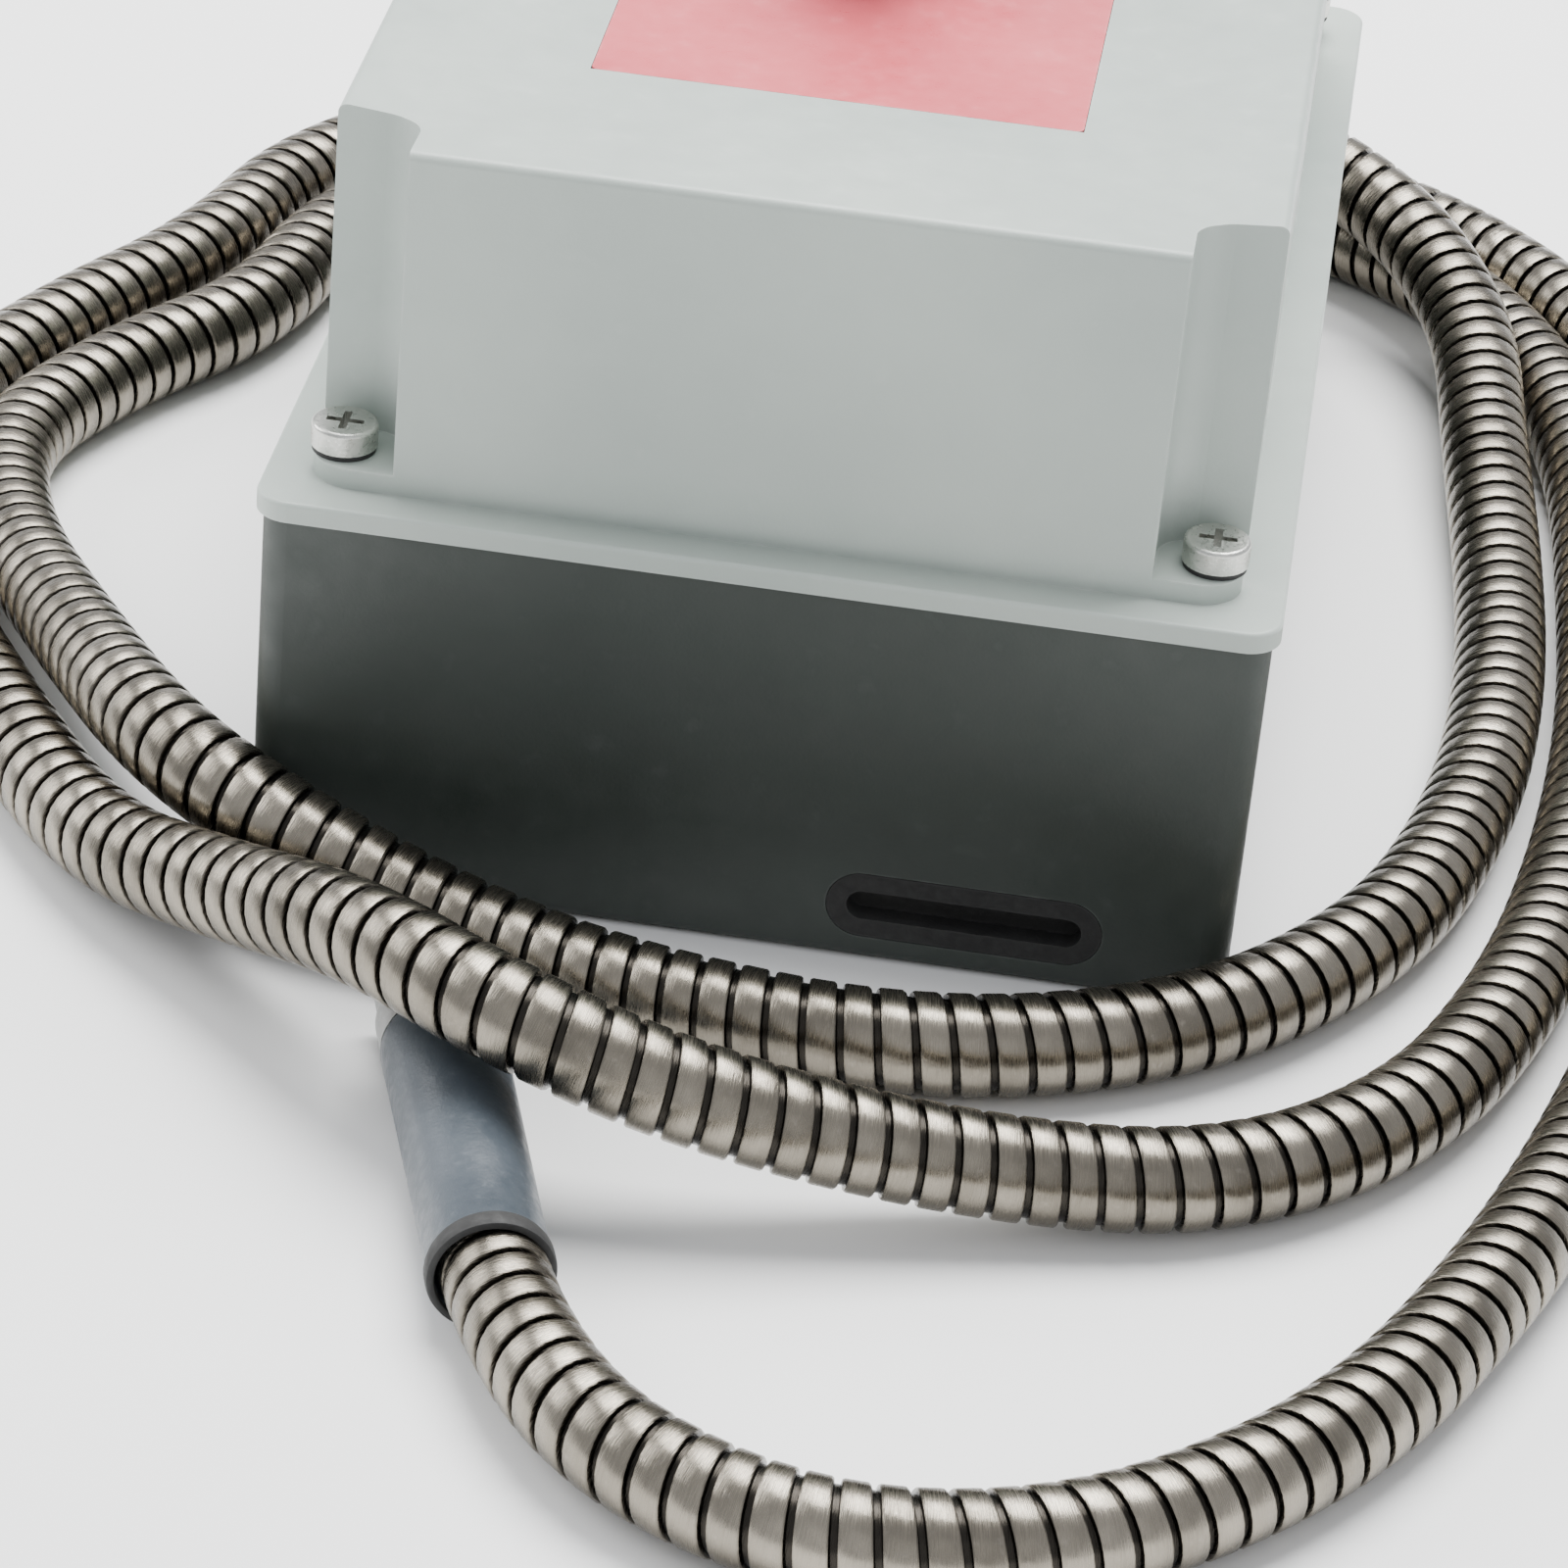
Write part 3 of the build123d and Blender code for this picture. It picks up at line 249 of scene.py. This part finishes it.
conduitSpec = {
    "radius": 0.0070,
    "length": 2.40,
    "pitch": 0.0048,
    "around": 26,
    # One pitch of the strip: share of the pitch, radius, and how deep in the groove it lies.
    "profile": [
        (0.00, 0.00615, 1.0),
        (0.15, 0.00615, 1.0),
        (0.19, 0.00675, 0.5),
        (0.26, 0.00698, 0.0),
        (0.90, 0.00698, 0.0),
        (0.97, 0.00680, 0.3),
    ],
    "route": [
        (-0.02, 0.1335, 0.03), (0.014, 0.1335, 0.03), (0.05, 0.1325, 0.027), (0.079, 0.1185, 0.021),
        (0.095, 0.0905, 0.015), (0.0985, 0.0545, 0.0105), (0.1025, 0.0175, 0.0073),
        (0.104, -0.0185, 0.0071), (0.101, -0.0565, 0.0071), (0.09, -0.0945, 0.0071),
        (0.065, -0.1245, 0.0071), (0.03, -0.1385, 0.0071), (-0.01, -0.1345, 0.0071),
        (-0.038, -0.1255, 0.009), (-0.062, -0.1195, 0.0165), (-0.082, -0.1065, 0.02),
        (-0.102, -0.0715, 0.014), (-0.121, -0.0365, 0.009), (-0.13, -0.0045, 0.0071),
        (-0.118, 0.0255, 0.0071), (-0.101, 0.0505, 0.0071), (-0.096, 0.0855, 0.0071),
        (-0.074, 0.1195, 0.0071), (-0.037, 0.1375, 0.0071), (0.004, 0.1435, 0.0071),
        (0.044, 0.1445, 0.0071), (0.082, 0.129, 0.0071), (0.106, 0.0955, 0.0071), (0.116, 0.0555, 0.0071),
        (0.1185, 0.0145, 0.0071), (0.1195, -0.0255, 0.0071), (0.1165, -0.0645, 0.0071),
        (0.11, -0.1015, 0.0071), (0.097, -0.1365, 0.0071), (0.073, -0.1595, 0.0071),
        (0.041, -0.1665, 0.009), (0.004, -0.1735, 0.018), (-0.023, -0.1725, 0.027),
        (-0.044, -0.1555, 0.0255), (-0.066, -0.135, 0.015), (-0.089, -0.1165, 0.0078),
        (-0.113, -0.0805, 0.0071), (-0.136, -0.0425, 0.0071), (-0.145, -0.0025, 0.0071),
        (-0.132, 0.0355, 0.0071), (-0.114, 0.0685, 0.0071), (-0.106, 0.1065, 0.0071),
        (-0.078, 0.1385, 0.0071), (-0.037, 0.1555, 0.0071), (0.008, 0.1605, 0.0071),
        (0.053, 0.1575, 0.0071), (0.093, 0.1385, 0.0071), (0.119, 0.1035, 0.0071), (0.13, 0.0605, 0.0071),
        (0.1345, 0.0155, 0.0071), (0.1355, -0.0305, 0.0071), (0.1315, -0.0775, 0.0071),
        (0.123, -0.1245, 0.0071), (0.11, -0.1695, 0.0071), (0.091, -0.2115, 0.0071),
        (0.06, -0.2405, 0.0071), (0.024, -0.2465, 0.0074), (-0.0099, -0.2255, 0.0085),
        (-0.0204, -0.1921, 0.0085),
    ],
}


def conduitCentreline():
    curve = bpy.data.curves.new("conduitRoute", "CURVE")
    curve.dimensions = "3D"
    curve.resolution_u = 24
    spline = curve.splines.new("NURBS")
    spline.points.add(len(conduitSpec["route"]) - 1)
    for point, place in zip(spline.points, conduitSpec["route"]):
        point.co = (*place, 1.0)
    spline.order_u = 3
    spline.use_endpoint_u = True
    holder = bpy.data.objects.new("conduitRoute", curve)
    bpy.context.collection.objects.link(holder)
    bpy.context.view_layer.update()
    line = bpy.data.meshes.new_from_object(holder.evaluated_get(bpy.context.evaluated_depsgraph_get()))
    points = np.array([v.co[:] for v in line.vertices])
    bpy.data.objects.remove(holder)
    bpy.data.curves.remove(curve)
    bpy.data.meshes.remove(line)
    return points


def carriedFrames(points):
    # Directions square to the line, carried along it without twist.
    tangents = np.gradient(points, axis=0)
    tangents /= np.linalg.norm(tangents, axis=1)[:, None]
    side = np.cross(tangents[0], (0.0, 0.0, 1.0))
    sides = []
    for tangent in tangents:
        side = side - tangent * np.dot(side, tangent)
        side /= np.linalg.norm(side)
        sides.append(side)
    sides = np.array(sides)
    return sides, np.cross(tangents, sides)


def conduitStrip(points):
    steps = np.linalg.norm(np.diff(points, axis=0), axis=1)
    run = np.concatenate([[0.0], np.cumsum(steps)])
    sides, ups = carriedFrames(points)
    pitch, around, profile = conduitSpec["pitch"], conduitSpec["around"], conduitSpec["profile"]
    turns = int(run[-1] / pitch) - 1
    columns = len(profile)
    rows = turns * around + around + 1
    share = np.array([p[0] for p in profile])
    radius = np.array([p[1] for p in profile])
    depth = np.array([p[2] for p in profile])
    step = np.repeat(np.arange(rows), columns)
    column = np.tile(np.arange(columns), rows)
    along = np.minimum((step / around + share[column]) * pitch, run[-1])
    angle = 2 * math.pi * step / around
    centre = np.stack([np.interp(along, run, points[:, k]) for k in range(3)], axis=1)
    side = np.stack([np.interp(along, run, sides[:, k]) for k in range(3)], axis=1)
    up = np.stack([np.interp(along, run, ups[:, k]) for k in range(3)], axis=1)
    reach = radius[column]
    places = centre + side * (np.cos(angle) * reach)[:, None] + up * (np.sin(angle) * reach)[:, None]
    faces = []
    for r in range(turns * around):
        base = r * columns
        for c in range(columns - 1):
            faces.append((base + c, base + c + 1, base + columns + c + 1, base + columns + c))
        nextTurn = (r + around) * columns
        faces.append((base + columns - 1, nextTurn, nextTurn + columns, base + columns * 2 - 1))
    # Fans close both ends inside the fittings.
    loop = [r * columns for r in range(around + 1)] + [c for c in range(columns - 1, 0, -1)]
    end = turns * around
    lastLoop = [(end + r) * columns for r in range(around + 1)]
    lastLoop += [end * columns + c for c in range(columns - 1, 0, -1)]
    startPoint = len(places)
    farMiddle = np.array([np.interp((turns + 0.5) * pitch, run, points[:, k]) for k in range(3)])
    places = np.vstack([places, points[0], farMiddle])
    for a, b in zip(loop, loop[1:] + loop[:1]):
        faces.append((a, b, startPoint))
    for a, b in zip(lastLoop, lastLoop[1:] + lastLoop[:1]):
        faces.append((b, a, startPoint + 1))
    mesh = bpy.data.meshes.new("conduitStrip")
    mesh.from_pydata(places.tolist(), [], faces)
    grooved = mesh.attributes.new("groove", "FLOAT", "POINT")
    grooved.data.foreach_set("value", np.concatenate([depth[column], [1.0, 1.0]]).astype(np.float32))
    travel = mesh.attributes.new("travel", "FLOAT_VECTOR", "POINT")
    flow = np.stack([np.cos(angle), np.sin(angle), along / pitch], axis=1)
    flow = np.vstack([flow, [[0, 0, 0], [0, 0, 0]]]).astype(np.float32)
    travel.data.foreach_set("vector", flow.ravel())
    piece = bpy.data.objects.new("conduitStrip", mesh)
    bpy.context.collection.objects.link(piece)
    recalculateLoose(piece)
    return piece


def recalculateLoose(piece):
    makeActive(piece)
    bpy.ops.object.mode_set(mode="EDIT")
    bpy.ops.mesh.select_all(action="SELECT")
    bpy.ops.mesh.delete_loose()
    bpy.ops.mesh.select_all(action="SELECT")
    bpy.ops.mesh.normals_make_consistent(inside=False)
    bpy.ops.object.mode_set(mode="OBJECT")
    bpy.ops.object.shade_smooth_by_angle(angle=math.radians(35))


conduitLine = conduitCentreline()
conduit = conduitStrip(conduitLine)
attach(conduit, "enclosure")
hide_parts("conduit")
print("conduit wound:", len(conduit.data.polygons), "faces")


steelSpec = {
    "strip": [(0.165, 0.148, 0.120), (0.290, 0.262, 0.215)],
    # groove colour: painted shade laid into the groove's recess, near black
    "groove": (0.030, 0.027, 0.023),
    "rough": (0.16, 0.36),
    "drawLines": 22.0,
    "lineHeight": 0.35,
}


def makeSteelStrip():
    # Bright strip with draw lines along it; its groove is painted near black as painted shade, together with
    # dust.
    paint = bpy.data.materials.new("conduit_steel")
    paint.use_nodes = True
    tree = paint.node_tree
    shader = tree.nodes["Principled BSDF"]
    shader.inputs["Metallic"].default_value = 1.0
    place = tree.nodes.new("ShaderNodeTexCoord").outputs["Object"]
    groove = addNode(tree, "Attribute", attribute_name="groove").outputs["Fac"]
    travel = addNode(tree, "Attribute", attribute_name="travel").outputs["Vector"]
    drawn = addNode(tree, "Mapping")
    drawn.inputs["Scale"].default_value = (1.0, 1.0, steelSpec["drawLines"])
    tree.links.new(travel, drawn.inputs["Vector"])
    lines = noiseAt(tree, drawn.outputs["Vector"], 2.0, 4.0)
    patches = noiseAt(tree, place, 60.0, 4.0)
    specks = noiseAt(tree, place, 900.0, 3.0)
    colour = blendColours(tree, ranged(tree, patches, 0.35, 0.65, 0.0, 1.0), *steelSpec["strip"])
    colour = blendColours(tree, ranged(tree, specks, 0.58, 0.78, 0.0, 0.5), colour, (0.30, 0.27, 0.23))
    # Painted shade: the strip darkens to the groove colour where the groove attribute marks the recess
    colour = blendColours(tree, ranged(tree, groove, 0.12, 0.8, 0.0, 1.0), colour, steelSpec["groove"])
    tree.links.new(colour, shader.inputs["Base Color"])
    tree.links.new(ranged(tree, lines, 0.3, 0.7, *steelSpec["rough"]), shader.inputs["Roughness"])
    raised = addNode(tree, "Bump")
    raised.inputs["Strength"].default_value = steelSpec["lineHeight"]
    raised.inputs["Distance"].default_value = 0.0002
    tree.links.new(lines, raised.inputs["Height"])
    tree.links.new(raised.outputs["Normal"], shader.inputs["Normal"])
    return paint


lay(conduit, makeSteelStrip())


# Sleeve on the conduit's free end, in the place of its plain tube

sleeveSpec = {
    "mouth": (-0.0165, -0.2045, 0.0085),
    "along": (-0.30, 0.95, 0.0),
    "around": 72,
    # Radius and distance from the mouth: rolled lip, waist, body, far rim, then the bore.
    "outline": [(7.15, 0.5), (7.35, 0.1), (7.8, 0.0), (8.2, 0.2), (8.36, 0.7), (8.36, 2.3), (8.15, 2.9),
                (7.95, 3.4), (7.98, 14.0), (8.12, 30.0), (8.24, 44.0), (8.34, 48.6), (8.36, 51.0),
                (8.10, 51.7), (7.60, 51.9), (7.20, 51.6)],
    "lipLength": 0.0030,
}


def buildSleeve():
    outline = [(radius / 1000, height / 1000) for radius, height in sleeveSpec["outline"]]
    deselectAll()
    bpy.ops.mesh.primitive_circle_add(vertices=sleeveSpec["around"], radius=outline[0][0],
                                      location=(0, 0, outline[0][1]))
    piece = bpy.context.object
    piece.name = "conduitSleeve"
    settle(piece)
    makeActive(piece)
    bpy.ops.object.mode_set(mode="EDIT")
    bpy.ops.mesh.select_mode(type="EDGE")
    bpy.ops.mesh.select_all(action="SELECT")
    for (radius, height), (nextRadius, nextHeight) in zip(outline, outline[1:]):
        bpy.ops.mesh.extrude_region_move(TRANSFORM_OT_translate={"value": (0, 0, nextHeight - height)})
        grow = nextRadius / radius
        bpy.ops.transform.resize(value=(grow, grow, 1), center_override=(0, 0, nextHeight))
    bpy.ops.mesh.select_all(action="DESELECT")
    bpy.ops.mesh.select_non_manifold()
    bpy.ops.mesh.bridge_edge_loops()
    bpy.ops.object.mode_set(mode="OBJECT")
    recalculateNormals(piece)
    bpy.ops.object.shade_smooth_by_angle(angle=math.radians(40))
    along = Vector(sleeveSpec["along"]).normalized()
    piece.rotation_mode = "QUATERNION"
    piece.rotation_quaternion = along.to_track_quat("Z", "Y")
    piece.location = sleeveSpec["mouth"]
    settle(piece)
    lay(piece, finishes["boot_plastic"])
    piece.data.materials.append(finishes["seal_rubber"])  # the dark lip
    mouth = Vector(sleeveSpec["mouth"])
    for face in piece.data.polygons:
        if (face.center - mouth).dot(along) < sleeveSpec["lipLength"]:
            face.material_index = 1
    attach(piece, "enclosure")
    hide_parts("conduit_boot")
    return piece


sleeve = buildSleeve()
print("sleeve built:", len(sleeve.data.polygons), "faces")


# Position marks on the front plate, round the handle

markSpec = {
    "turn": 60.0,
    "size": 0.0062,
    "thickness": 0.00008,
    # Name, letters, turn from the middle position, distance from the handle's axis.
    "marks": [("markOff", "0", 0.0, 0.0345), ("markOne", "I", 1.0, 0.0295), ("markTwo", "II", -1.0, 0.0295)],
}


def placeMark(name, letters, step, reach):
    low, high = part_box("handle_pointer")
    zero = math.atan2((low[1] + high[1]) / 2, (low[0] + high[0]) / 2)
    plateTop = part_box("red_plate")[1][2]
    angle = zero + math.radians(markSpec["turn"] * step)
    deselectAll()
    bpy.ops.object.text_add(location=(0, 0, 0))
    mark = bpy.context.object
    mark.name = name
    mark.data.body = letters
    mark.data.size = markSpec["size"]
    mark.data.align_x = "CENTER"
    mark.data.align_y = "CENTER"
    mark.data.extrude = markSpec["thickness"]
    makeActive(mark)
    bpy.ops.object.convert(target="MESH")
    mark = bpy.context.object
    mark.location = (reach * math.cos(angle), reach * math.sin(angle), plateTop + markSpec["thickness"])
    mark.rotation_euler = (0, 0, angle - math.pi / 2)
    settle(mark)
    recalculateNormals(mark)
    lay(mark, finishes["pointer_white"])
    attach(mark, "enclosure")


for name, letters, step, reach in markSpec["marks"]:
    placeMark(name, letters, step, reach)
print("marks placed:", len(markSpec["marks"]))


# Floor and light

studioSpec = {
    "floor": 6.0,
    "floorColour": (0.93, 0.93, 0.92, 1.0),
    "worldColour": (0.93, 0.95, 1.0, 1.0),
    "worldStrength": 0.85,
    "lights": [
        # name, place, aim, size, power
        ("overhead", (0.15, 0.60, 1.7), (0.0, 0.0, 0.05), 1.5, 92.0),
        ("leftWindow", (-1.5, 0.3, 1.0), (0.0, -0.05, 0.05), 1.1, 22.0),
        ("frontFill", (0.5, -1.6, 0.9), (0.0, -0.1, 0.03), 1.4, 2.2),
    ],
}


def buildStudio():
    deselectAll()
    bpy.ops.mesh.primitive_plane_add(size=studioSpec["floor"], location=(0, 0, -0.0002))
    floor = bpy.context.object
    floor.name = "studioFloor"
    settle(floor)
    paint = bpy.data.materials.new("studioFloor")
    paint.use_nodes = True
    shader = paint.node_tree.nodes["Principled BSDF"]
    shader.inputs["Base Color"].default_value = studioSpec["floorColour"]
    shader.inputs["Roughness"].default_value = 0.75
    floor.data.materials.append(paint)
    for name, place, aim, size, power in studioSpec["lights"]:
        bpy.ops.object.light_add(type="AREA", location=place)
        lamp = bpy.context.object
        lamp.name = name
        lamp.data.shape = "DISK"
        lamp.data.size = size
        lamp.data.energy = power
        lamp.rotation_mode = "QUATERNION"
        lamp.rotation_quaternion = (Vector(aim) - Vector(place)).to_track_quat("-Z", "Y")
    world = bpy.data.worlds.new("studioWorld")
    world.use_nodes = True
    sky = world.node_tree.nodes["Background"]
    sky.inputs["Color"].default_value = studioSpec["worldColour"]
    sky.inputs["Strength"].default_value = studioSpec["worldStrength"]
    bpy.context.scene.world = world


buildStudio()
print("studio lit")
